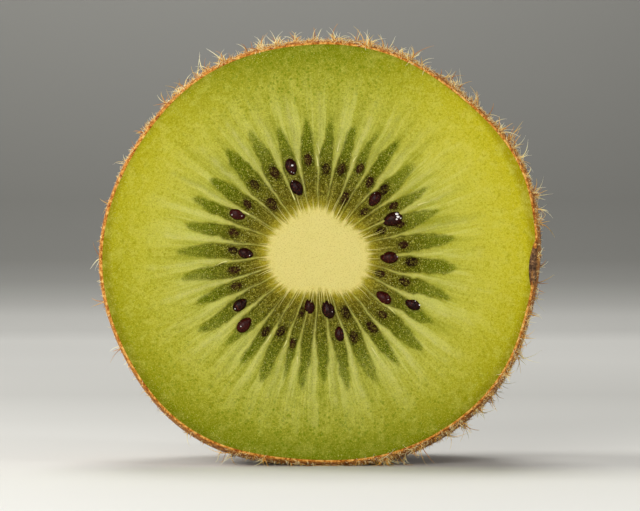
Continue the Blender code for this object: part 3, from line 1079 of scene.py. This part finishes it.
def seed_material():
    looks = Looks("seed", Specular_IOR_Level=0.12)
    clear = looks.ramp(looks.field("tone"), (0.0, 24, 4, 2), (0.6, 34, 6, 3), (1.0, 52, 9, 5))
    grains = looks.noise(0.00018, 3.0, 0.7)
    clear = looks.mix(looks.between(grains, 0.54, 0.70, 0.0, 0.75), clear, srgb(112, 44, 24))
    clear = looks.mix(looks.between(grains, 0.32, 0.46, 0.8, 0.0), clear, srgb(14, 2, 2))
    looks.set(looks.shader, "Base Color", clear)
    looks.set(looks.shader, "Roughness", looks.between(looks.noise(0.0004), 0.35, 0.65, 0.10, 0.20))
    looks.bump(grains, 0.00005)
    return looks.material


def sunk_seed_material():
    """Seeds under juice and a thin layer of flesh: dark, with a broken veil of green over them."""
    looks = Looks("sunk_seed", Roughness=0.6, Specular_IOR_Level=0.05)
    dark = looks.mix(looks.field("tone"), srgb(26, 9, 2), srgb(46, 20, 7))
    veil = looks.between(looks.noise(0.00045, 2.0, 0.6), 0.50, 0.62, 0.0, 0.7)
    dark = looks.mix(veil, dark, srgb(78, 70, 12))
    specks = looks.noise(0.00015, 2.0, 0.7)
    dark = looks.mix(looks.between(specks, 0.56, 0.68, 0.0, 0.8), dark, srgb(158, 146, 62))
    looks.set(looks.shader, "Base Color", dark)
    looks.bump(specks, 0.00005)
    return looks.material


def skin_material():
    """Brown with freckles, golden at the lip and on the cut, bark on the scar, and wood at the stem, with
    painted shade on the underside.
    """
    looks = Looks("skin", Roughness=0.8, Specular_IOR_Level=0.25)
    patchy = looks.noise(0.0022, 4.0, 0.6)
    brown = looks.ramp(patchy, (0.30, 82, 55, 28), (0.52, 118, 83, 44), (0.75, 146, 110, 62))
    freckle = looks.between(looks.spots(0.0011), 0.10, 0.28, 0.7, 0.0)
    brown = looks.mix(freckle, brown, srgb(62, 38, 18))
    fine = looks.noise(0.00045, 4.0, 0.75)
    lip = looks.ramp(fine, (0.36, 110, 56, 14), (0.50, 178, 112, 44), (0.66, 220, 164, 88))
    brown = looks.mix(looks.field("lip"), brown, lip)
    # Painted shade: the skin is darker brown towards the bottom, where less light falls
    brown = looks.mix(looks.times(looks.field("painted_underside_shade"), 0.3), brown, srgb(104, 64, 26))
    # The cut skin: crumbly orange-brown, with painted highlights in its palest specks
    edge = looks.ramp(fine, (0.38, 128, 60, 10), (0.50, 212, 134, 38), (0.64, 244, 200, 110))
    colour = looks.mix(looks.field("cut"), brown, edge)
    bark = looks.ramp(fine, (0.38, 44, 28, 16), (0.52, 96, 68, 44), (0.70, 172, 130, 86))
    colour = looks.mix(looks.field("scar"), colour, bark)
    wood = looks.ramp(fine, (0.35, 44, 30, 20), (0.70, 112, 84, 56))
    colour = looks.mix(looks.field("stem"), colour, wood)
    looks.set(looks.shader, "Base Color", colour)
    looks.bump(looks.noise(0.0004, 4.0, 0.65), 0.00012)
    return looks.material


def hair_material():
    """A few brown hairs, some orange, and mostly cream ones, each paler to its tip."""
    looks = Looks("hair", Roughness=0.5, Specular_IOR_Level=0.3)
    along, tone = looks.field("along"), looks.field("tone")
    brown = looks.ramp(along, (0.0, 140, 74, 14), (0.6, 196, 122, 32), (1.0, 226, 168, 70))
    orange = looks.ramp(along, (0.0, 214, 138, 40), (0.6, 248, 194, 84), (1.0, 254, 228, 140))
    cream = looks.ramp(along, (0.0, 240, 194, 104), (0.5, 255, 242, 176), (1.0, 255, 252, 226))
    colour = looks.mix(looks.between(tone, 0.16, 0.24), brown, orange)
    colour = looks.mix(looks.between(tone, 0.45, 0.52), colour, cream)
    looks.set(looks.shader, "Base Color", colour)
    looks.bump(looks.noise(0.0002, 2.0), 0.00001)
    return looks.material


def fibre_material():
    looks = Looks("fibre", Roughness=0.4)
    colour = looks.mix(looks.field("along"), srgb(226, 214, 130), srgb(196, 188, 96))
    looks.set(looks.shader, "Base Color", colour)
    looks.bump(looks.noise(0.0002, 2.0), 0.00001)
    return looks.material


def painted_sparkle_juice_material():
    looks = Looks("juice", Roughness=0.08, Coat_Weight=0.3, Coat_Roughness=0.05)
    # Painted sparkle: the juice's beads and streaks are pale, for the lamps' glints in the wet flesh
    pale = looks.mix(looks.noise(0.004), srgb(200, 198, 96), srgb(228, 225, 146))
    looks.set(looks.shader, "Base Color", pale)
    return looks.material


def glint_material():
    """Painted highlight: white, as the lamp's shine in a drop is."""
    looks = Looks("glint", Roughness=0.1)
    white = looks.mix(looks.noise(0.0003), srgb(236, 228, 222), srgb(255, 252, 250))
    looks.set(looks.shader, "Base Color", white)
    return looks.material


# The studio


def paper(grey):
    """A grey from 0 to 255, a little warm."""
    return grey, grey, grey - 4


def stage_material():
    """Painted light and shade: white in front, turning to grey where the floor sweeps up, and a little
    lighter again higher up.
    """
    looks = Looks("stage", Roughness=0.9, Specular_IOR_Level=0.1)
    place = looks.add("ShaderNodeSeparateXYZ")
    looks.set(place, "Vector", looks.place)
    behind = looks.math("ADD", place.outputs["Y"], FIRST_GREY)
    height = place.outputs["Z"]
    floor = looks.ramp(behind, *((y + FIRST_GREY, *paper(grey)) for y, grey in FLOOR_GREYS))
    wall = looks.ramp(height, *((z, *paper(grey)) for z, grey in WALL_GREYS))
    colour = looks.mix(looks.between(height, 0.0, WALL_START), floor, wall)
    mottled = looks.mix(looks.noise(0.3), srgb(250, 250, 250), srgb(255, 255, 255))
    colour = looks.mix(1.0, colour, mottled, "MULTIPLY")
    looks.set(looks.shader, "Base Color", colour)
    return looks.material


def make_stage():
    """A floor that sweeps up into a wall."""
    line = [(y, 0.0) for y in FLOOR_ROWS]
    for turn in np.linspace(0, math.pi / 2, SWEEP_STEPS):
        line.append((FLOOR_END + SWEEP_RADIUS * math.sin(turn), SWEEP_RADIUS * (1 - math.cos(turn))))
    line.append((FLOOR_END + SWEEP_RADIUS, WALL_TOP))
    points = np.array([(x, y, z) for y, z in line for x in (-STAGE_HALF_WIDTH, STAGE_HALF_WIDTH)])
    faces = [(2 * i, 2 * i + 1, 2 * i + 3, 2 * i + 2) for i in range(len(line) - 1)]
    floor = mesh_object("studio_floor", points, faces, {})
    floor.data.materials.append(stage_material())


def area_light(name, place, size, power, target):
    data = bpy.data.lights.new(name, "AREA")
    data.size = size
    data.energy = power
    data.color = LAMP_COLOUR
    lamp = bpy.data.objects.new(name, data)
    lamp.location = place
    lamp.rotation_euler = (Vector(target) - Vector(place)).to_track_quat("-Z", "Y").to_euler()
    bpy.context.scene.collection.objects.link(lamp)


def make_lights():
    for lamp in LAMPS:
        area_light(*lamp)
    world = bpy.data.worlds.new("studio")
    world.use_nodes = True
    back = world.node_tree.nodes["Background"]
    back.inputs["Color"].default_value = SKY_COLOUR
    back.inputs["Strength"].default_value = SKY_STRENGTH
    bpy.context.scene.world = world


def make_camera():
    data = bpy.data.cameras.new("camera")
    data.sensor_width = SENSOR
    data.lens = SENSOR * VIEW_DISTANCE * PIXELS_PER_METRE / IMAGE_WIDTH
    data.clip_start = 0.01
    camera = bpy.data.objects.new("camera", data)
    right, up = VIEW_OFFSET
    camera.location = (FACE_CENTRE[0] + right, FACE_Y - VIEW_DISTANCE, REST_HEIGHT + up)
    camera.rotation_euler = (math.pi / 2, 0, 0)
    bpy.context.scene.collection.objects.link(camera)
    bpy.context.scene.camera = camera
    bpy.context.scene.view_settings.view_transform = "Standard"


def main():
    fruit = Fruit()
    hair = hair_material()
    make_flesh(fruit, flesh_material())
    make_core(fruit, core_material())
    make_seeds("kiwi_clear_seeds", fruit.seeds[:len(CLEAR_SEEDS)], seed_material())
    make_seeds("kiwi_sunk_seeds", fruit.seeds[len(CLEAR_SEEDS):], sunk_seed_material())
    rows = make_skin(skin_material())
    make_hairs("kiwi_fuzz", rows, hair, FUZZ, 71)
    make_hairs("kiwi_edge_fuzz", rows, hair, EDGE_FUZZ, 72)
    make_hairs("kiwi_bristles", rows, hair, BRISTLES, 73)
    make_fibres(fruit, fibre_material())
    juice = painted_sparkle_juice_material()
    juice_rng = np.random.default_rng(61)
    make_juice(fruit, juice_rng, juice)
    make_wet_edges(fruit, juice_rng, juice)
    make_glints(fruit, glint_material())
    make_stage()
    make_lights()
    make_camera()


main()
